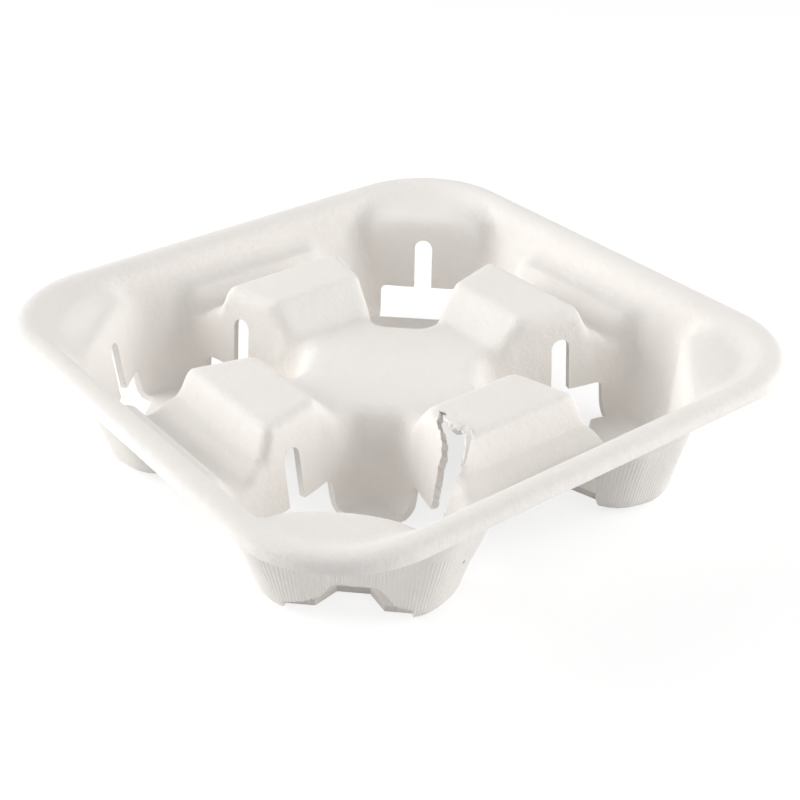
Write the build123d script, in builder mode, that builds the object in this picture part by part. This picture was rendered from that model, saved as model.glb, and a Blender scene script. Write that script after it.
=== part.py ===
from build123d import *
from math import cos, radians, sin, sqrt, tan
import os

# A four-cup carrier pressed from one sheet of moulded pulp.
# The frame has +Z up, the origin under the middle of the tray and z = 0 at the undersides of the feet.
# The tray's sides are parallel to X and Y. Millimetres and degrees.

# ---- the whole tray ----
tray_width = 215.0          # over the rim, along X and along Y
tray_height = 50.0          # from the undersides of the feet to the crest of the rim
sheet = 2.4                 # thickness of the pulp
corner_radius = 38.9        # of the rim's outer edge in plan

# ---- rim: a rolled edge with a short hanging lip ----
lip_drop = 4.4              # the lip's lower edge below the crest
rim_outer_arc = 3.9         # radius of the roll on its outer side
rim_flat = 2.0              # nearly flat crest between the two arcs
rim_inner_arc = 5.0         # radius of the roll on its inner side
side_wall_draft = 8.0       # the inner side wall leans outward towards the rim

# ---- levels, all below the crest of the rim ----
band_drop = 12.3            # narrow band along the foot of the rim, and the corner decks
platform_drop = 15.7        # deck in the middle of the tray
hump_drop = 4.3             # tops of the four humps
crease_drop = 14.5          # foot of each hump's steep outer slope
ridge_drop = 15.8           # outer edge of the step below it
groove_drop = 19.5          # groove between the humps and the rim
ledge_drop = 4.7            # tops of the four corner ledges

# ---- humps, measured from the middle of the tray along a side's axis ----
hump_foot = 35.0            # the inner slope starts here, at the platform
hump_inner = 45.5           # inner edge of the top
hump_outer = 67.5           # outer edge of the top
crease_at = 71.8
ridge_at = 75.5
groove_inner = 79.0
groove_outer = 84.0
band_inner = 88.0
hump_round = 3.0            # radius along both edges of the top
block_half = 50.0           # half-length of the side blocks, which end inside the wells
corner_start = 48.0         # the corner decks begin here, inside the wells
ledge_centre = 60.5         # middle of a ledge's round edge, from the well's centre towards the corner
ledge_radius = 32.0

# ---- wells: three contact walls and three lobes each ----
well_offset = 52.0          # a well's centre from each middle plane of the tray
contact_floor = 24.8        # contact wall from the well's centre, at the floor
contact_draft = 5.7
shoulder_floor = 30.2       # short walls of the six-sided core, at the floor
shoulder_draft = 6.8
lobe_half_floor = 11.2      # half-width of a lobe, at the floor
lobe_side_draft = 3.6
lobe_reach_floor = 30.6     # end of a lobe from the well's centre, at the floor
lobe_end_draft = 22.0
well_corner = 6.0           # radius of the upright inside corners
well_floor_round = 3.0      # radius round the floor

# ---- T-shaped slots, one in the middle of each contact wall ----
slot_width = 7.3
slot_top_drop = 14.9        # the slot's round top below the crest
bar_half = 17.8             # half-length of the T's bar
bar_top_drop = 35.5         # the bar's upper edge below the crest
bar_round = 2.5
bar_inner = 20.8            # the bar's cut edge in the floor, from the well's centre
slot_outer = 36.0           # the cutter ends here, past the wall's outer face
tongue_inner = 13.0         # where the floor is cut further in, the cut ends here
tongue_tip = 5.3            # half-width of that cut at its end
tongue_base = 11.7          # and at the bar

# the uneven arch under two of the corner walls: across the wall, and below the crest
arch_points = [
    (-20.5, 44.5), (-8.0, 40.5), (-5.5, 36.5), (-3.0, 34.7), (9.0, 34.7), (12.0, 36.5), (14.5, 40.0), (20.5, 43.5),
]

# ---- damage: one slot is torn open, up over the edge of the hump ----
# The outline lies in a plane that leans back at 45 degrees: across the wall, and up the lean.
tear_points = [
    (11.0, 55.6), (9.0, 53.2), (4.0, 51.4), (0.5, 49.5), (0.0, 46.0), (1.0, 41.0), (2.0, 34.0), (2.2, 27.0),
    (-6.0, 27.0), (-8.5, 34.0), (-11.0, 39.5), (-13.7, 47.0), (-12.4, 51.2), (-9.5, 53.9), (-5.8, 56.0),
    (-3.2, 56.3), (-0.5, 54.5), (4.6, 54.6), (10.3, 56.4),
]
tear_reach = 14.0           # half-length of the cutter

corner_directions = [45, 135, 225, 315]
side_directions = [0, 90, 180, 270]
contact_directions = [0, 120, 240]
lobe_directions = [60, 180, 300]

# Slots by the tray's corner and the wall's turn from it.
arched_slots = [(45, 0), (315, 0)]              # an arch at the foot and no upright slot
tongued_slots = [(45, 0), (315, 0), (45, 120)]  # the floor is cut further in
torn_slot = (315, 120)


def well_plane(corner, turn, drop):
    """Level plane at a well's centre, its x axis turned from the tray's corner direction."""
    centre_x = well_offset * (1 if cos(radians(corner)) > 0 else -1)
    centre_y = well_offset * (1 if sin(radians(corner)) > 0 else -1)
    heading = radians(corner + turn)
    return Plane(
        origin=(centre_x, centre_y, tray_height - drop),
        x_dir=(cos(heading), sin(heading), 0),
        z_dir=(0, 0, 1),
    )


def core_points(contact, shoulder):
    """Corners of a six-sided outline with three long and three short walls in turn."""
    points = []
    for k in range(6):
        near, far = (contact, shoulder) if k % 2 == 0 else (shoulder, contact)
        start = radians(60 * k)
        along = (far - near * cos(radians(60))) / sin(radians(60))
        points.append((near * cos(start) - along * sin(start), near * sin(start) + along * cos(start)))
    return points


def well_core(corner, grow, floor_z, top_z):
    """The six-sided middle of a well's space, round along the edge of its floor."""
    with BuildPart() as core:
        for z in (floor_z, top_z):
            rise = z - sheet
            contact = contact_floor + rise * tan(radians(contact_draft)) + grow
            shoulder = shoulder_floor + rise * tan(radians(shoulder_draft)) + grow
            with BuildSketch(well_plane(corner, 0, tray_height - z)):
                Polygon(*core_points(contact, shoulder), align=None)
        loft(ruled=True)
        if not grow:
            fillet(core.faces().sort_by(Axis.Z)[0].edges(), well_floor_round)
    return core.part


def well_lobe(corner, turn, grow, floor_z, top_z):
    """One lobe of a well's space, from the well's centre out to its sloping end."""
    outward = Axis((0, 0, 0), well_plane(corner, turn, 0).x_dir)
    with BuildPart() as lobe:
        for z in (floor_z, top_z):
            rise = z - sheet
            half = lobe_half_floor + rise * tan(radians(lobe_side_draft)) + grow
            reach = lobe_reach_floor + rise * tan(radians(lobe_end_draft)) + grow / cos(radians(lobe_end_draft))
            with BuildSketch(well_plane(corner, turn, tray_height - z)):
                Polygon((0, -half), (reach, -half), (reach, half), (0, half), align=None)
        loft(ruled=True)
        upright_edges = lobe.faces().sort_by(outward)[-1].edges().sort_by(Axis.Z)[1:3]
        fillet(upright_edges, well_corner + grow)
        if not grow:
            fillet(lobe.faces().sort_by(Axis.Z)[0].edges().sort_by(outward)[1:], well_floor_round)
    return lobe.part


def well_plug(corner, grow):
    """The space of one well, grown outward by `grow` and cut off level above the rim."""
    floor_z = -1.0 if grow else sheet
    top_z = tray_height + 2.0
    with BuildPart() as plug:
        add(well_core(corner, grow, floor_z, top_z))
        for turn in lobe_directions:
            add(well_lobe(corner, turn, grow, floor_z, top_z))
    return plug


def side_profile(grow):
    """Half of the tray's middle section under the sheet: x from the middle of the tray, y the height."""
    top = tray_height - hump_drop
    crease = tray_height - crease_drop
    ridge = tray_height - ridge_drop
    groove = tray_height - groove_drop
    band = tray_height - band_drop
    platform = tray_height - platform_drop
    beyond = tray_width / 2
    with BuildSketch(Plane.XZ) as profile:
        Polygon(
            (-grow, platform), (hump_foot, platform), (hump_inner, top), (hump_outer, top),
            (crease_at, crease), (ridge_at, ridge), (groove_inner, groove), (groove_outer, groove),
            (band_inner, band), (beyond, band),
            (beyond, -grow), (-grow, -grow), align=None)
        fillet(profile.vertices().group_by(Axis.Y)[-1], hump_round)
        if grow:
            offset(amount=-grow, kind=Kind.INTERSECTION)
    return profile.sketch


def form(grow, outline):
    """Everything under the sheet's upper face, or under its lower face when grow is its thickness."""
    deck_size = tray_width / 2 - corner_start
    ledge_spacing = 2 * well_offset + ledge_centre * sqrt(2)
    profile = side_profile(grow)
    with BuildPart() as body:
        for turn in side_directions:
            add(Rot(0, 0, turn) * extrude(profile, amount=block_half, both=True))
        with BuildSketch():
            with GridLocations(tray_width - deck_size, tray_width - deck_size, 2, 2):
                Rectangle(deck_size, deck_size)
        extrude(amount=tray_height - band_drop - grow)
        with BuildSketch():
            with GridLocations(ledge_spacing, ledge_spacing, 2, 2):
                Circle(ledge_radius - grow)
        extrude(amount=tray_height - ledge_drop - grow)
        with BuildSketch():
            RectangleRounded(2 * outline, 2 * outline, corner_radius - (tray_width / 2 - outline))
        extrude(amount=tray_height, mode=Mode.INTERSECT)
        for corner in corner_directions:
            add(well_plug(corner, grow), mode=Mode.SUBTRACT)
    return body


def rim_ring():
    """The rolled rim and the inner side wall, one profile carried round the tray."""
    crest_outer = tray_width / 2 - rim_outer_arc
    crest_inner = crest_outer - rim_flat
    lean = radians(side_wall_draft)
    wall_foot = tray_height - band_drop - sheet
    arc_z = tray_height - rim_inner_arc
    wall_top = (crest_inner - rim_inner_arc * cos(lean), arc_z + rim_inner_arc * sin(lean))
    back_arc = rim_inner_arc - sheet
    back_top = (crest_inner - back_arc * cos(lean), arc_z + back_arc * sin(lean))
    outer_z = tray_height - rim_outer_arc
    lip_z = tray_height - lip_drop
    with BuildSketch() as plan:
        RectangleRounded(tray_width, tray_width, corner_radius)
    route = plan.wire()
    outward = (route % 0).cross(Vector(0, 0, 1))
    start = (route @ 0) - outward * (tray_width / 2)
    with BuildPart() as ring:
        with BuildSketch(Plane(origin=start, x_dir=outward, z_dir=outward.cross(Vector(0, 0, 1)))):
            with BuildLine():
                Line((tray_width / 2, lip_z), (tray_width / 2, outer_z))
                RadiusArc((tray_width / 2, outer_z), (crest_outer, tray_height), -rim_outer_arc)
                Line((crest_outer, tray_height), (crest_inner, tray_height))
                RadiusArc((crest_inner, tray_height), wall_top, -rim_inner_arc)
                wall = Line(wall_top, (wall_top[0] - (wall_top[1] - wall_foot) * tan(lean), wall_foot))
                back_foot = (back_top[0] - (back_top[1] - wall_foot) * tan(lean), wall_foot)
                Line(wall @ 1, back_foot)
                Line(back_foot, back_top)
                RadiusArc(back_top, (crest_inner, tray_height - sheet), back_arc)
                Line((crest_inner, tray_height - sheet), (crest_outer, tray_height - sheet))
                RadiusArc(
                    (crest_outer, tray_height - sheet), (tray_width / 2 - sheet, outer_z),
                    rim_outer_arc - sheet)
                Line((tray_width / 2 - sheet, outer_z), (tray_width / 2 - sheet, lip_z))
                Line((tray_width / 2 - sheet, lip_z), (tray_width / 2, lip_z))
            make_face()
        sweep(path=route)
    return ring


def slot_cutter(corner, turn):
    """A slot in a contact wall: most are an upside-down T, its bar along the wall's foot and the floor."""
    centre = well_plane(corner, turn, tray_height)
    wall_plane = Plane(origin=centre.origin + centre.x_dir * bar_inner, x_dir=centre.y_dir, z_dir=centre.x_dir)
    bar_height = tray_height - bar_top_drop
    top_centre = tray_height - slot_top_drop - slot_width / 2
    with BuildPart() as cutter:
        with BuildSketch(wall_plane):
            if (corner, turn) in arched_slots:
                Polygon(
                    *[(across, tray_height - drop) for across, drop in arch_points],
                    (arch_points[-1][0], -sheet), (arch_points[0][0], -sheet), align=None)
            else:
                with Locations((0, (bar_height - sheet) / 2)):
                    Rectangle(2 * bar_half, bar_height + sheet)
                fillet(vertices().group_by(Axis.Y)[-1], bar_round)
            if (corner, turn) not in arched_slots + [torn_slot]:
                with Locations((0, top_centre / 2)):
                    Rectangle(slot_width, top_centre)
                with Locations((0, top_centre)):
                    Circle(slot_width / 2)
        extrude(amount=slot_outer - bar_inner)
        if (corner, turn) in tongued_slots:
            with BuildSketch(centre):
                Polygon(
                    (tongue_inner, -tongue_tip), (bar_inner, -tongue_base),
                    (bar_inner, tongue_base), (tongue_inner, tongue_tip), align=None)
            extrude(amount=2 * sheet, both=True)
    return cutter.part


def tear_cutter():
    """The torn hole beside the torn slot's upright."""
    centre = well_plane(*torn_slot, tray_height)
    leaning = Plane(origin=centre.origin, x_dir=centre.y_dir, z_dir=centre.x_dir - centre.z_dir)
    with BuildPart() as cutter:
        with BuildSketch(leaning):
            Polygon(*tear_points, align=None)
        extrude(amount=tear_reach, both=True)
    return cutter.part


def carrier():
    """The whole sheet, slots cut."""
    wall_outline = tray_width / 2 - rim_outer_arc - rim_flat - rim_inner_arc + sheet / 2
    with BuildPart() as tray:
        add(rim_ring())
        add(form(0, wall_outline))
        add(form(sheet, wall_outline + sheet), mode=Mode.SUBTRACT)
        for corner in corner_directions:
            for turn in contact_directions:
                add(slot_cutter(corner, turn), mode=Mode.SUBTRACT)
        add(tear_cutter(), mode=Mode.SUBTRACT)
    return tray


os.makedirs("parts", exist_ok=True)
cup_carrier = carrier()
cup_carrier.part.label = "cup_carrier"
export_step(cup_carrier.part, "parts/cup_carrier.step")
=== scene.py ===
"""A moulded-pulp cup carrier: one pressed sheet with four wells, four humps and a rolled rim.

The sheet is built as the zero surface of a distance field, in millimetres in the CAD frame, and the
grip slots are cut afterwards, so that their edges are as crisp as a die leaves them.
"""
import math

import bmesh
import bpy
import numpy as np
from mathutils import Matrix, Vector


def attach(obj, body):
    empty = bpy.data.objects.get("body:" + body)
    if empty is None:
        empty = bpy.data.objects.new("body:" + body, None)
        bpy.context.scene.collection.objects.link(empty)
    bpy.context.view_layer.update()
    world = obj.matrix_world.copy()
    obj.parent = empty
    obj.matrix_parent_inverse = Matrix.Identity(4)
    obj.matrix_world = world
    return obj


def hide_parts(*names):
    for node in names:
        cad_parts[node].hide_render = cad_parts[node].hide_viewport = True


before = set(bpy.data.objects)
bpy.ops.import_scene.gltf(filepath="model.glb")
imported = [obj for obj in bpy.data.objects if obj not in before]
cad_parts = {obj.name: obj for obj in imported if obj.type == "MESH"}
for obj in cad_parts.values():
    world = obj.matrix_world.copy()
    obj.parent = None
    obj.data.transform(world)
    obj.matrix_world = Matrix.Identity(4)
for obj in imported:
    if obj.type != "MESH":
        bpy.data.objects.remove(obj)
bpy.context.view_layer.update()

MM = 0.001

# ---- the tray, in millimetres: the same values as the CAD model ----
TRAY_HALF = 107.5
CREST = 50.0
SHEET = 2.4
CORNER_RADIUS = 38.9
LIP_DROP = 4.4
RIM_OUTER_ARC = 3.9
RIM_FLAT = 2.0
RIM_INNER_ARC = 5.0
WALL_DRAFT = 8.0
LEDGE = 4.7
# Distance from the middle of the tray, and drop below the rim's crest: platform, hump, shelf, groove and band.
SIDE_PROFILE = [
    (0.0, 15.7), (35.0, 15.7), (45.5, 4.3), (67.5, 4.3), (71.8, 14.5), (75.5, 15.8),
    (79.0, 19.5), (84.0, 19.5), (88.0, 12.3), (110.0, 12.3)]
LEDGE_START = 50.0
LENS_CENTRE, LENS_RADIUS, LENS_DRAFT = 60.5, 31.0, 50.0
WELL = 52.0
CONTACT, CONTACT_DRAFT = 24.8, 5.7
SHOULDER, SHOULDER_DRAFT = 30.2, 6.8
LOBE_HALF, LOBE_SIDE_DRAFT = 11.2, 3.6
LOBE_REACH, LOBE_END_DRAFT = 30.6, 22.0

# ---- roundings of the pressed sheet ----
ROUND_EDGE = 4.0
ROUND_PROFILE = 2.6
ROUND_LENS = 3.5
ROUND_WELL = 8.0
ROUND_FLOOR = 4.0
ROUND_LOBE = 6.0
ROUND_WALL = 6.0

# ---- how finely the surface is sampled ----
GRID = 1.5
PROFILE_STEP = 0.1
PROFILE_START, PROFILE_END = -10.0, 125.0
SLOPE_STEP = 0.05
SETTLE_ROUNDS = 6
SLOPE_FLOOR = 0.2
LONGEST_MOVE = 0.5
SHARP_ANGLE = 45.0


def smooth_max(a, b, radius):
    """The larger of two distances, with a round fillet of that radius where they meet."""
    reach = np.hypot(np.maximum(a + radius, 0.0), np.maximum(b + radius, 0.0))
    return np.minimum(-radius, np.maximum(a, b)) + reach


def smooth_min(a, b, radius):
    """The smaller of two distances, with a round fillet of that radius where they meet."""
    return -smooth_max(-a, -b, radius)


def rounded_square(x, y, half, radius):
    """Distance to a square with round corners, negative inside."""
    dx = np.abs(x) - (half - radius)
    dy = np.abs(y) - (half - radius)
    outside = np.hypot(np.maximum(dx, 0.0), np.maximum(dy, 0.0))
    return outside + np.minimum(np.maximum(dx, dy), 0.0) - radius


def lean(distance, height, draft):
    """A wall's distance, leaning back by its draft as it rises."""
    angle = math.radians(draft)
    return distance * math.cos(angle) - height * math.sin(angle)


def side_height(along):
    """Height of the platform, humps and groove, and its slope, at a distance from the middle of the tray."""
    step = PROFILE_STEP
    grid = np.arange(PROFILE_START, PROFILE_END, step)
    points = np.array(SIDE_PROFILE)
    height = CREST - np.interp(np.abs(grid), points[:, 0], points[:, 1])
    reach = int(2.0 * ROUND_PROFILE / step)
    kernel = np.hanning(reach + 2)
    height = np.convolve(height, kernel / kernel.sum(), mode="same")
    return np.interp(along, grid, height), np.interp(along, grid, np.gradient(height, step))


def corner_axes(x, y):
    """A point's place from its nearest well's middle: outward along the diagonal, and across it."""
    out = (np.abs(x) + np.abs(y)) / math.sqrt(2.0) - WELL * math.sqrt(2.0)
    across = (np.abs(y) - np.abs(x)) / math.sqrt(2.0)
    return out, across


def deck(x, y, z):
    """Distance above the platform, humps, grooves and corner ledges."""
    height, slope = side_height(np.maximum(np.abs(x), np.abs(y)))
    side = (z - height) / np.sqrt(1.0 + slope ** 2)
    out, across = corner_axes(x, y)
    lens = np.hypot(out - LENS_CENTRE, across) - LENS_RADIUS
    lens = lean(lens, z - (CREST - LEDGE), -LENS_DRAFT)
    ledge = smooth_max(z - (CREST - LEDGE), lens, ROUND_LENS)
    ledge = np.maximum(ledge, LEDGE_START - np.minimum(np.abs(x), np.abs(y)))
    return smooth_min(side, ledge, ROUND_LENS)


def well(x, y, z):
    """Distance outside the nearest well's space: three flat contact walls and three lobes between them."""
    u, v = corner_axes(x, y)
    height = z - SHEET
    core = None
    lobes = None
    for k in range(6):
        turn = math.radians(60.0 * k)
        out = u * math.cos(turn) + v * math.sin(turn)
        across = v * math.cos(turn) - u * math.sin(turn)
        if k % 2 == 0:
            wall = lean(out - CONTACT, height, CONTACT_DRAFT)
        else:
            wall = lean(out - SHOULDER, height, SHOULDER_DRAFT)
            end = lean(out - LOBE_REACH, height, LOBE_END_DRAFT)
            side = lean(np.abs(across) - LOBE_HALF, height, LOBE_SIDE_DRAFT)
            lobe = np.maximum(smooth_max(side, end, ROUND_WELL), -out)
            lobes = lobe if lobes is None else np.minimum(lobes, lobe)
        core = wall if core is None else smooth_max(core, wall, ROUND_WELL)
    space = smooth_min(core, lobes, ROUND_LOBE)
    return smooth_max(space, -height, ROUND_FLOOR)


def upper_face(points):
    """Distance above the sheet's upper face, negative in everything below it."""
    x, y, z = points[..., 0], points[..., 1], points[..., 2]
    body = smooth_max(deck(x, y, z), -well(x, y, z), ROUND_EDGE)
    wall_half = TRAY_HALF - RIM_OUTER_ARC - RIM_FLAT - RIM_INNER_ARC
    wall_radius = CORNER_RADIUS - (TRAY_HALF - wall_half)
    inside = rounded_square(x, y, wall_half, wall_radius)
    ring = -lean(inside, z - (CREST - RIM_INNER_ARC), WALL_DRAFT)
    body = smooth_min(body, ring, ROUND_WALL)
    body = smooth_max(body, z - CREST, RIM_INNER_ARC)
    return smooth_max(body, rounded_square(x, y, TRAY_HALF, CORNER_RADIUS), RIM_OUTER_ARC)


def gradient(field, points):
    """Slope of the field along each axis."""
    slopes = []
    for axis in range(3):
        shift = np.zeros(3)
        shift[axis] = SLOPE_STEP
        slopes.append((field(points + shift) - field(points - shift)) / (2.0 * SLOPE_STEP))
    return np.stack(slopes, axis=-1)


def surface_net(field, low, high, step):
    """Vertices and quads of the field's zero surface, one vertex for each grid cell that it crosses."""
    axes = [np.arange(low[i], high[i] + step, step) for i in range(3)]
    grid = np.stack(np.meshgrid(*axes, indexing="ij"), axis=-1)
    value = field(grid)
    inside = value < 0.0
    shape = np.array(value.shape) - 1
    total = np.zeros(tuple(shape) + (3,))
    count = np.zeros(tuple(shape))
    crossings = []
    for axis in range(3):
        near = [slice(None)] * 3
        far = [slice(None)] * 3
        near[axis] = slice(0, -1)
        far[axis] = slice(1, None)
        a, b = value[tuple(near)], value[tuple(far)]
        crossed = inside[tuple(near)] != inside[tuple(far)]
        share = np.where(crossed, a / np.where(crossed, a - b, 1.0), 0.0)
        place = grid[tuple(near)].copy()
        place[..., axis] += share * step
        crossings.append((crossed, inside[tuple(near)]))
        others = [i for i in range(3) if i != axis]
        for first in (0, 1):
            for second in (0, 1):
                pick = [slice(None)] * 3
                pick[others[0]] = slice(first, first + shape[others[0]])
                pick[others[1]] = slice(second, second + shape[others[1]])
                hit = crossed[tuple(pick)]
                total += np.where(hit[..., None], place[tuple(pick)], 0.0)
                count += hit
    active = count > 0
    index = np.full(tuple(shape), -1)
    index[active] = np.arange(active.sum())
    vertices = total[active] / count[active][:, None]
    quads = []
    for axis in range(3):
        crossed, solid = crossings[axis]
        others = [(axis + 1) % 3, (axis + 2) % 3]
        cells = np.argwhere(crossed)
        keep = np.all([(cells[:, o] > 0) & (cells[:, o] < shape[o]) for o in others], axis=0)
        cells = cells[keep]
        corners = []
        for first, second in ((1, 1), (0, 1), (0, 0), (1, 0)):
            cell = cells.copy()
            cell[:, others[0]] -= first
            cell[:, others[1]] -= second
            corners.append(index[tuple(cell.T)])
        quad = np.stack(corners, axis=1)
        flip = ~solid[tuple(cells.T)]
        quad[flip] = quad[flip][:, ::-1]
        quads.append(quad)
    return vertices, np.concatenate(quads)


def settle(field, vertices, step):
    """Moves the vertices onto the field's zero surface."""
    for _ in range(SETTLE_ROUNDS):
        value = field(vertices)
        slopes = gradient(field, vertices)
        size = np.maximum((slopes ** 2).sum(axis=1), SLOPE_FLOOR)
        move = slopes * (value / size)[:, None]
        length = np.linalg.norm(move, axis=1)
        cap = np.minimum(1.0, LONGEST_MOVE * step / np.maximum(length, 1e-9))
        vertices = vertices - move * cap[:, None]
    return vertices


def mesh_object(name, vertices, faces):
    """An object from vertices in millimetres."""
    mesh = bpy.data.meshes.new(name)
    mesh.from_pydata((vertices * MM).tolist(), [], [list(f) for f in faces])
    mesh.update()
    piece = bpy.data.objects.new(name, mesh)
    bpy.context.scene.collection.objects.link(piece)
    return piece


def make_sheet():
    """The whole sheet without its slots: the upper face, thickened downward."""
    margin = 2.0 * GRID
    low = (-TRAY_HALF - margin, -TRAY_HALF - margin, SHEET - margin)
    high = (TRAY_HALF + margin, TRAY_HALF + margin, CREST + margin)
    vertices, quads = surface_net(upper_face, low, high, GRID)
    vertices = settle(upper_face, vertices, GRID)
    lip = CREST - LIP_DROP
    outside = rounded_square(vertices[:, 0], vertices[:, 1], TRAY_HALF, CORNER_RADIUS) > -1.0
    below = outside & (vertices[:, 2] < lip + 0.5 * GRID)
    vertices[below, 2] = lip
    quads = quads[~below[quads].all(axis=1)]
    piece = mesh_object("pulp_sheet", vertices, quads)
    remove_loose(piece)
    thicken = piece.modifiers.new("thickness", "SOLIDIFY")
    thicken.thickness = SHEET * MM
    thicken.offset = -1.0
    thicken.use_even_offset = True
    apply_modifiers(piece)
    face_outward(piece)
    print("sheet", len(piece.data.vertices), len(piece.data.polygons) * 2)
    return piece


def face_outward(piece):
    """Turns a closed mesh's faces outward."""
    form = bmesh.new()
    form.from_mesh(piece.data)
    bmesh.ops.recalc_face_normals(form, faces=form.faces)
    form.to_mesh(piece.data)
    form.free()


def remove_loose(piece):
    """Deletes the vertices that no face uses."""
    form = bmesh.new()
    form.from_mesh(piece.data)
    bmesh.ops.delete(form, geom=[v for v in form.verts if not v.link_faces], context="VERTS")
    form.to_mesh(piece.data)
    form.free()


# ---- grip slots ----
SLOT_WIDTH = 7.3
SLOT_TOP = 14.9
BAR_HALF = 17.8
BAR_TOP = 35.5
BAR_ROUND = 2.5
BAR_INNER = 20.8
SLOT_OUTER = 36.0
CUT_BELOW = 3.0
TONGUE_OVERLAP = 1.0
BAR_ARC_STEPS = 6
TOP_ARC_STEPS = 16
TONGUE_INNER, TONGUE_TIP, TONGUE_BASE = 13.0, 5.3, 11.7
# The arch's edge, as across the wall and drop below the rim's crest.
ARCH = [
    (-20.5, 44.5), (-13.0, 42.8), (-8.0, 40.5), (-6.3, 38.6), (-4.5, 35.6), (-2.5, 34.6), (3.0, 34.9),
    (8.5, 34.6), (11.0, 35.8), (13.0, 38.2), (15.0, 41.2), (17.5, 42.4), (20.5, 43.8)]
# The torn hole's edge, as across the wall and up a plane that leans back at 45 degrees.
TEAR = [
    (11.2, 55.8), (10.6, 54.4), (8.9, 53.3), (5.2, 51.8), (2.4, 51.0), (0.4, 49.4), (-0.1, 46.0), (0.8, 42.0),
    (0.9, 38.2), (1.9, 34.6), (1.8, 30.5), (2.2, 27.0), (-6.0, 27.0), (-6.6, 30.5), (-8.4, 34.0), (-10.6, 38.6),
    (-12.0, 43.2), (-11.2, 47.0), (-9.9, 50.7), (-8.4, 53.7), (-6.4, 56.0), (-4.0, 56.4), (-1.8, 55.5),
    (-0.4, 54.5), (1.6, 54.0), (4.8, 54.7), (8.0, 55.8), (10.2, 56.2)]
TEAR_REACH = 5.0
TEAR_FOOT, TEAR_FOOT_DEPTH, TEAR_TOP_DEPTH, TEAR_LEAN = 29.0, -7.9, 9.5, 0.82
TEAR_SPACING, RAGGED, TEAR_SEED = 0.9, 0.3, 3
CORNERS = {"right": (1, 1), "back": (-1, 1), "left": (-1, -1), "front": (1, -1)}
ARCHED = [("right", 0), ("front", 0)]
TONGUED = [("right", 0), ("front", 0), ("right", 120)]
TORN = ("front", 120)


def well_axes(corner, turn):
    """A well's centre at z = 0, and the directions outward, across and up at one of its walls."""
    sx, sy = CORNERS[corner]
    heading = math.atan2(sy, sx) + math.radians(turn)
    centre = np.array([sx * WELL, sy * WELL, 0.0])
    outward = np.array([math.cos(heading), math.sin(heading), 0.0])
    across = np.array([-math.sin(heading), math.cos(heading), 0.0])
    return centre, outward, across, np.array([0.0, 0.0, 1.0])


def arc(across, height, radius, start, end, steps):
    """Points along a circle's arc, its ends included, from one angle in degrees to another."""
    angles = [math.radians(start + (end - start) * k / steps) for k in range(steps + 1)]
    return [(across + radius * math.cos(a), height + radius * math.sin(a)) for a in angles]


def slot_outline(stem):
    """The slot's bar, with or without the upright that makes it a T, as (across, height) points."""
    bar_z = CREST - BAR_TOP
    bar_side = BAR_HALF - BAR_ROUND
    top_z = CREST - SLOT_TOP - SLOT_WIDTH / 2
    half = SLOT_WIDTH / 2
    points = [(-BAR_HALF, -CUT_BELOW), (BAR_HALF, -CUT_BELOW)]
    points += arc(bar_side, bar_z - BAR_ROUND, BAR_ROUND, 0.0, 90.0, BAR_ARC_STEPS)
    if stem:
        points.append((half, bar_z))
        points += arc(0.0, top_z, half, 0.0, 180.0, TOP_ARC_STEPS)
        points.append((-half, bar_z))
    points += arc(-bar_side, bar_z - BAR_ROUND, BAR_ROUND, 90.0, 180.0, BAR_ARC_STEPS)
    return points


def ragged(points, spacing, rough, seed):
    """The outline cut into short steps, each pushed a little off its line."""
    chance = np.random.default_rng(seed)
    result = []
    for (ax, ay), (bx, by) in zip(points, points[1:] + points[:1]):
        steps = max(1, round(math.hypot(bx - ax, by - ay) / spacing))
        for k in range(steps):
            share = k / steps
            push = chance.normal(0.0, rough, 2).clip(-2 * rough, 2 * rough)
            result.append((ax + (bx - ax) * share + push[0], ay + (by - ay) * share + push[1]))
    return result


def prism(outline, origin, first, second, start, end):
    """A prism of an outline given along two directions; start and end are offsets from its plane."""
    rings = [[origin + shift + first * a + second * b for a, b in outline] for shift in (start, end)]
    n = len(outline)
    faces = [list(range(n)), list(range(2 * n - 1, n - 1, -1))]
    faces += [[(i + 1) % n, i, i + n, (i + 1) % n + n] for i in range(n)]
    return rings[0] + rings[1], faces


def slot_prism(corner, turn):
    """One slot of a well, cut through its wall."""
    centre, outward, across, up = well_axes(corner, turn)
    if (corner, turn) in ARCHED:
        outline = [(a, CREST - drop) for a, drop in ARCH]
        outline += [(ARCH[-1][0], -CUT_BELOW), (ARCH[0][0], -CUT_BELOW)]
    else:
        outline = slot_outline((corner, turn) != TORN)
    return prism(outline, centre, across, up, outward * BAR_INNER, outward * SLOT_OUTER)


def tongue_prism(corner, turn):
    """The cut that takes a slot further into the well's floor."""
    centre, outward, across, up = well_axes(corner, turn)
    base = BAR_INNER + TONGUE_OVERLAP
    outline = [(TONGUE_INNER, -TONGUE_TIP), (base, -TONGUE_BASE), (base, TONGUE_BASE), (TONGUE_INNER, TONGUE_TIP)]
    return prism(outline, centre, outward, across, -CUT_BELOW * up, CUT_BELOW * up + SHEET * up)


def tear_prism():
    """The torn hole, outlined in a plane that leans back at 45 degrees and following the wall in depth."""
    centre, outward, across, up = well_axes(*TORN)
    lean_up = (outward + up) / math.sqrt(2.0)
    lean_in = (up - outward) / math.sqrt(2.0)
    outline = ragged(TEAR, TEAR_SPACING, RAGGED, TEAR_SEED)
    reach = TEAR_REACH * lean_in
    vertices, faces = prism(outline, centre, across, lean_up, -reach, reach)
    slope = [TEAR_FOOT_DEPTH + TEAR_LEAN * (rise - TEAR_FOOT) for _, rise in outline]
    depths = [min(TEAR_TOP_DEPTH, depth) for depth in slope]
    vertices = [vertex + lean_in * depth for vertex, depth in zip(vertices, depths + depths)]
    return vertices, faces


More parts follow.
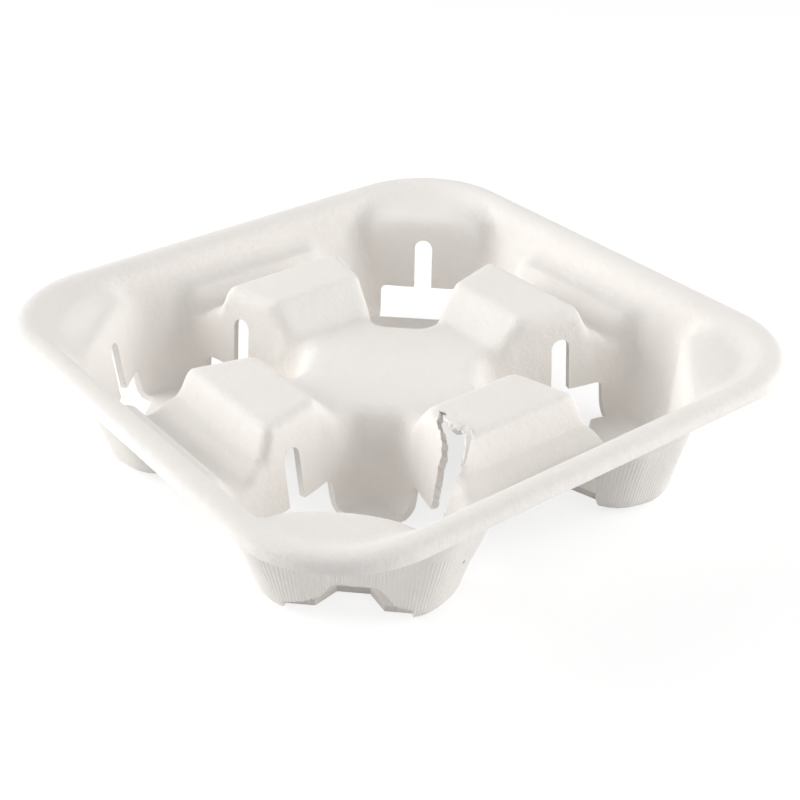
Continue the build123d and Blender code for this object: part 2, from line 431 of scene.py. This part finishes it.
def cut(piece, prisms):
    """Cuts prisms that don't touch each other out of the piece."""
    vertices, faces = [], []
    for v, f in prisms:
        faces += [[i + len(vertices) for i in face] for face in f]
        vertices += v
    cutter = mesh_object("cutter", np.array(vertices), faces)
    face_outward(cutter)
    modifier = piece.modifiers.new("cut", "BOOLEAN")
    modifier.operation = "DIFFERENCE"
    modifier.solver = "EXACT"
    modifier.object = cutter
    apply_modifiers(piece)
    bpy.data.objects.remove(cutter)


def apply_modifiers(piece):
    """Bakes the piece's modifiers into its mesh."""
    graph = bpy.context.evaluated_depsgraph_get()
    mesh = bpy.data.meshes.new_from_object(piece.evaluated_get(graph))
    piece.modifiers.clear()
    piece.data = mesh


# ---- pulp, its scales in cycles per metre and its heights in millimetres ----
PULP_COLOR = (0.935, 0.91, 0.88, 1.0)
PULP_STAIN = (0.90, 0.86, 0.815, 1.0)
SPECK_COLOR = (0.30, 0.24, 0.18, 1.0)
FIBRE_SCALE, FIBRE_HEIGHT, FIBRE_TINT = 1100.0, 0.22, 0.6
LUMP_SCALE, LUMP_HEIGHT = 260.0, 0.35
STAIN_SCALE, STAIN_TINT, STAIN_OFFSET = 60.0, 1.2, -0.55
SPECK_SCALE, SPECK_SIZE, SPECK_SHARE, SPECK_TINT = 110.0, 0.08, 0.012, 2.5
PIMPLE_SCALE, PIMPLE_SIZE, PIMPLE_SHARE, PIMPLE_HEIGHT = 95.0, 0.11, 0.10, 0.5
RIB_COUNT, RIB_TOP, RIB_HEIGHT, RIB_TINT = 210.0, 27.5, 0.07, -0.12
RIB_START = 8.0
ROUGHNESS = 0.92
SPECULAR = 0.2


class Nodes:
    """Short ways to add and join a material's nodes."""

    def __init__(self, tree):
        self.tree = tree

    def add(self, kind, **settings):
        """A new node with its settings."""
        node = self.tree.nodes.new(kind)
        for name, value in settings.items():
            setattr(node, name, value)
        return node

    def feed(self, socket, value):
        """Joins a socket to another, or gives it a plain value."""
        if isinstance(value, bpy.types.NodeSocket):
            self.tree.links.new(value, socket)
        else:
            socket.default_value = value

    def math(self, operation, first, second=0.0, third=0.0):
        node = self.add("ShaderNodeMath", operation=operation)
        for socket, value in zip(node.inputs, (first, second, third)):
            self.feed(socket, value)
        return node.outputs["Value"]

    def noise(self, place, scale, detail, roughness):
        node = self.add("ShaderNodeTexNoise")
        self.feed(node.inputs["Vector"], place)
        node.inputs["Scale"].default_value = scale
        node.inputs["Detail"].default_value = detail
        node.inputs["Roughness"].default_value = roughness
        return node.outputs["Fac"]

    def spots(self, place, scale, size, share):
        """1 inside small round spots, of which only a share is kept."""
        node = self.add("ShaderNodeTexVoronoi")
        self.feed(node.inputs["Vector"], place)
        node.inputs["Scale"].default_value = scale
        parts = self.add("ShaderNodeSeparateColor")
        self.feed(parts.inputs["Color"], node.outputs["Color"])
        near = self.math("SUBTRACT", 1.0, self.math("DIVIDE", node.outputs["Distance"], size))
        kept = self.math("LESS_THAN", parts.outputs["Red"], share)
        return self.math("MULTIPLY", self.math("MAXIMUM", near, 0.0), kept)

    def mix(self, share, first, second):
        node = self.add("ShaderNodeMix", data_type="RGBA")
        self.feed(node.inputs["Factor"], share)
        self.feed(node.inputs["A"], first)
        self.feed(node.inputs["B"], second)
        return node.outputs["Result"]


def rib_lines(nodes, place):
    """Fine upright lines, from -1 to 1, round the outer faces of the feet, left by the mould's screen."""
    split = nodes.add("ShaderNodeSeparateXYZ")
    nodes.feed(split.inputs["Vector"], place)
    facing = nodes.add("ShaderNodeSeparateXYZ")
    nodes.feed(facing.inputs["Vector"], nodes.add("ShaderNodeNewGeometry").outputs["Normal"])
    away = {}
    for axis in "XY":
        side = nodes.math("SIGN", split.outputs[axis])
        away[axis] = nodes.math("MULTIPLY_ADD", side, -WELL * MM, split.outputs[axis])
    angle = nodes.math("ARCTAN2", away["Y"], away["X"])
    wave = nodes.math("SINE", nodes.math("MULTIPLY", angle, RIB_COUNT))
    outward = nodes.math("MULTIPLY", away["X"], facing.outputs["X"])
    outward = nodes.math("MULTIPLY_ADD", away["Y"], facing.outputs["Y"], outward)
    low = nodes.math("LESS_THAN", split.outputs["Z"], RIB_TOP * MM)
    outer = nodes.math("GREATER_THAN", outward, RIB_START * MM)
    return nodes.math("MULTIPLY", wave, nodes.math("MULTIPLY", outer, low))


def pulp_material():
    """Matt warm-white pulp with fibres, lumps, faint stains, dark specks and small pimples."""
    material = bpy.data.materials.new("moulded_pulp")
    material.use_nodes = True
    tree = material.node_tree
    nodes = Nodes(tree)
    shader = tree.nodes["Principled BSDF"]
    place = nodes.add("ShaderNodeTexCoord").outputs["Object"]
    fibre = nodes.noise(place, FIBRE_SCALE, 5.0, 0.7)
    lump = nodes.noise(place, LUMP_SCALE, 3.0, 0.55)
    stain = nodes.noise(place, STAIN_SCALE, 4.0, 0.6)
    specks = nodes.spots(place, SPECK_SCALE, SPECK_SIZE, SPECK_SHARE)
    pimples = nodes.spots(place, PIMPLE_SCALE, PIMPLE_SIZE, PIMPLE_SHARE)
    ribs = rib_lines(nodes, place)
    tint = nodes.math("MULTIPLY_ADD", stain, STAIN_TINT, STAIN_OFFSET)
    tint = nodes.math("MULTIPLY_ADD", fibre, FIBRE_TINT, tint)
    tint = nodes.math("MAXIMUM", nodes.math("MULTIPLY_ADD", ribs, RIB_TINT, tint), 0.0)
    color = nodes.mix(nodes.math("MINIMUM", tint, 1.0), PULP_COLOR, PULP_STAIN)
    dark = nodes.math("MULTIPLY", specks, SPECK_TINT)
    color = nodes.mix(nodes.math("MINIMUM", dark, 1.0), color, SPECK_COLOR)
    nodes.feed(shader.inputs["Base Color"], color)
    shader.inputs["Roughness"].default_value = ROUGHNESS
    shader.inputs["Specular IOR Level"].default_value = SPECULAR
    height = nodes.math("MULTIPLY", fibre, FIBRE_HEIGHT)
    height = nodes.math("MULTIPLY_ADD", lump, LUMP_HEIGHT, height)
    height = nodes.math("MULTIPLY_ADD", pimples, PIMPLE_HEIGHT, height)
    height = nodes.math("MULTIPLY_ADD", ribs, RIB_HEIGHT, height)
    bump = nodes.add("ShaderNodeBump")
    bump.inputs["Strength"].default_value = 1.0
    bump.inputs["Distance"].default_value = MM
    nodes.feed(bump.inputs["Height"], height)
    nodes.feed(shader.inputs["Normal"], bump.outputs["Normal"])
    return material


# ---- the torn slot's flap: a ragged strip of pulp curled back along the hole ----
# Its middle line, as (across, outward, height) from the torn slot's well, and the roll's half width there.
FLAP_LINE = [
    (8.6, 32.9, 45.6), (6.0, 32.3, 45.8), (4.0, 33.0, 46.2), (1.6, 33.2, 46.5), (-0.5, 33.7, 46.6),
    (-2.3, 34.9, 46.4), (-4.4, 35.2, 46.1), (-6.6, 34.8, 45.5), (-8.6, 33.3, 43.4), (-9.9, 32.0, 40.6),
    (-10.9, 30.6, 37.6)]
FLAP_WIDTH = [0.3, 0.6, 1.2, 1.6, 1.4, 1.7, 1.5, 1.2, 0.9, 0.7, 0.3]
FLAP_STEPS, FLAP_AROUND = 56, 12
FLAP_ROUGH, FLAP_FLATNESS, FLAP_SEED = 0.16, 0.55, 11


def make_flap():
    """A ragged roll along the torn edge."""
    centre, outward, across, up = well_axes(*TORN)
    steps, around = FLAP_STEPS, FLAP_AROUND
    chance = np.random.default_rng(FLAP_SEED)
    line = np.array(FLAP_LINE)
    share = np.linspace(0.0, len(line) - 1.0, steps)
    known = np.arange(len(line))
    path = np.stack([np.interp(share, known, line[:, i]) for i in range(3)], axis=1)
    path = centre + path[:, :1] * across + path[:, 1:2] * outward + path[:, 2:] * up
    width = np.interp(share, known, FLAP_WIDTH)
    ahead = np.gradient(path, axis=0)
    ahead /= np.linalg.norm(ahead, axis=1)[:, None]
    side = np.cross(ahead, up)
    side /= np.linalg.norm(side, axis=1)[:, None]
    top = np.cross(side, ahead)
    vertices = []
    for k in range(steps):
        for j in range(around):
            a = 2.0 * math.pi * j / around
            rough = 1.0 + chance.normal(0.0, FLAP_ROUGH)
            spoke = side[k] * math.cos(a) + FLAP_FLATNESS * top[k] * math.sin(a)
            vertices.append(path[k] + width[k] * rough * spoke)
    faces = [list(range(around))[::-1], [(steps - 1) * around + j for j in range(around)]]
    for k in range(steps - 1):
        for j in range(around):
            i = (j + 1) % around
            faces.append([k * around + j, k * around + i, (k + 1) * around + i, (k + 1) * around + j])
    flap = mesh_object("torn_flap", np.array(vertices), faces)
    face_outward(flap)
    return flap


# ---- camera and light: azimuth 0 stands on the -Y side, and angles are in degrees ----
CAMERA_AZIMUTH = 52.47
CAMERA_HEIGHT = 31.43
CAMERA_DISTANCE = 511.1
CAMERA_LENS = 65.65
AIM_RIGHT = 3.49
AIM_UP = -26.16
WORLD_LIGHT = 0.35
FLOOR_LIFT = 0.72
FLOOR_SEEN = 0.35
FLOOR_WHITE = 0.9
FLOOR_HALF = 4.0
BOX_WIDTH, BOX_HEIGHT = 0.9, 0.8
# Name, azimuth, height and power in watts.
LIGHTS = [("left_box", -47.0, 22.0, 11.2), ("right_box", 137.0, 26.0, 7.5)]


def direction(azimuth, height):
    """The way from the tray to a camera or light at that azimuth and height."""
    turn, tilt = math.radians(azimuth), math.radians(height)
    return Vector((math.sin(turn) * math.cos(tilt), -math.cos(turn) * math.cos(tilt), math.sin(tilt)))


def add_camera():
    """The photograph's camera, aimed at a point beside the crest of the rim."""
    turn = math.radians(CAMERA_AZIMUTH)
    back = direction(CAMERA_AZIMUTH, CAMERA_HEIGHT)
    right = Vector((math.cos(turn), math.sin(turn), 0.0))
    up = back.cross(right)
    place = Vector((0.0, 0.0, CREST)) + back * CAMERA_DISTANCE + right * AIM_RIGHT + up * AIM_UP
    data = bpy.data.cameras.new("camera")
    data.lens = CAMERA_LENS
    camera = bpy.data.objects.new("camera", data)
    camera.matrix_world = Matrix.Translation(place * MM) @ Matrix((right, up, back)).transposed().to_4x4()
    bpy.context.scene.collection.objects.link(camera)
    bpy.context.scene.camera = camera


def add_light(name, azimuth, height, power):
    """A soft box at one metre, aimed at the tray."""
    back = direction(azimuth, height)
    data = bpy.data.lights.new(name, "AREA")
    data.shape = "RECTANGLE"
    data.energy = power
    data.size = BOX_WIDTH
    data.size_y = BOX_HEIGHT
    light = bpy.data.objects.new(name, data)
    light.matrix_world = Matrix.Translation(back) @ back.to_track_quat("Z", "Y").to_matrix().to_4x4()
    light.visible_camera = False
    bpy.context.scene.collection.objects.link(light)


def add_floor():
    """A floor that the camera sees lifted towards white, and that still shows a faint shadow of the tray."""
    half = FLOOR_HALF
    corners = [(-half, -half, 0), (half, -half, 0), (half, half, 0), (-half, half, 0)]
    mesh = bpy.data.meshes.new("floor")
    mesh.from_pydata(corners, [], [(0, 1, 2, 3)])
    floor = bpy.data.objects.new("floor", mesh)
    bpy.context.scene.collection.objects.link(floor)
    material = bpy.data.materials.new("floor")
    material.use_nodes = True
    tree = material.node_tree
    shader = tree.nodes["Principled BSDF"]
    shader.inputs["Roughness"].default_value = 1.0
    shader.inputs["Specular IOR Level"].default_value = 0.0
    shader.inputs["Emission Color"].default_value = (1.0, 1.0, 1.0, 1.0)
    path = tree.nodes.new("ShaderNodeLightPath")
    lift = tree.nodes.new("ShaderNodeMath")
    lift.operation = "MULTIPLY"
    lift.inputs[1].default_value = FLOOR_LIFT
    tree.links.new(path.outputs["Is Camera Ray"], lift.inputs[0])
    tree.links.new(lift.outputs[0], shader.inputs["Emission Strength"])
    tone = tree.nodes.new("ShaderNodeMapRange")
    tone.inputs["To Min"].default_value = FLOOR_WHITE
    tone.inputs["To Max"].default_value = FLOOR_SEEN
    tree.links.new(path.outputs["Is Camera Ray"], tone.inputs["Value"])
    tree.links.new(tone.outputs["Result"], shader.inputs["Base Color"])
    mesh.materials.append(material)


def add_world():
    """Plain light from all round, and white behind everything."""
    world = bpy.data.worlds.new("studio")
    world.use_nodes = True
    tree = world.node_tree
    background = tree.nodes["Background"]
    background.inputs["Color"].default_value = (1.0, 1.0, 1.0, 1.0)
    path = tree.nodes.new("ShaderNodeLightPath")
    seen = tree.nodes.new("ShaderNodeMapRange")
    seen.inputs["To Min"].default_value = WORLD_LIGHT
    seen.inputs["To Max"].default_value = 1.0
    tree.links.new(path.outputs["Is Camera Ray"], seen.inputs["Value"])
    tree.links.new(seen.outputs["Result"], background.inputs["Strength"])
    bpy.context.scene.world = world


sheet = make_sheet()
cut(sheet, [slot_prism(corner, turn) for corner in CORNERS for turn in (0, 120, 240)])
cut(sheet, [tongue_prism(*slot) for slot in TONGUED] + [tear_prism()])
flap = make_flap()
pulp = pulp_material()
for piece in (sheet, flap):
    piece.data.materials.append(pulp)
    piece.data.shade_smooth()
sheet.data.set_sharp_from_angle(angle=math.radians(SHARP_ANGLE))
for piece in (sheet, flap):
    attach(piece, "root")
    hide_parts("cup_carrier")

add_camera()
add_floor()
add_world()
for light in LIGHTS:
    add_light(*light)
bpy.context.scene.view_settings.view_transform = "Standard"
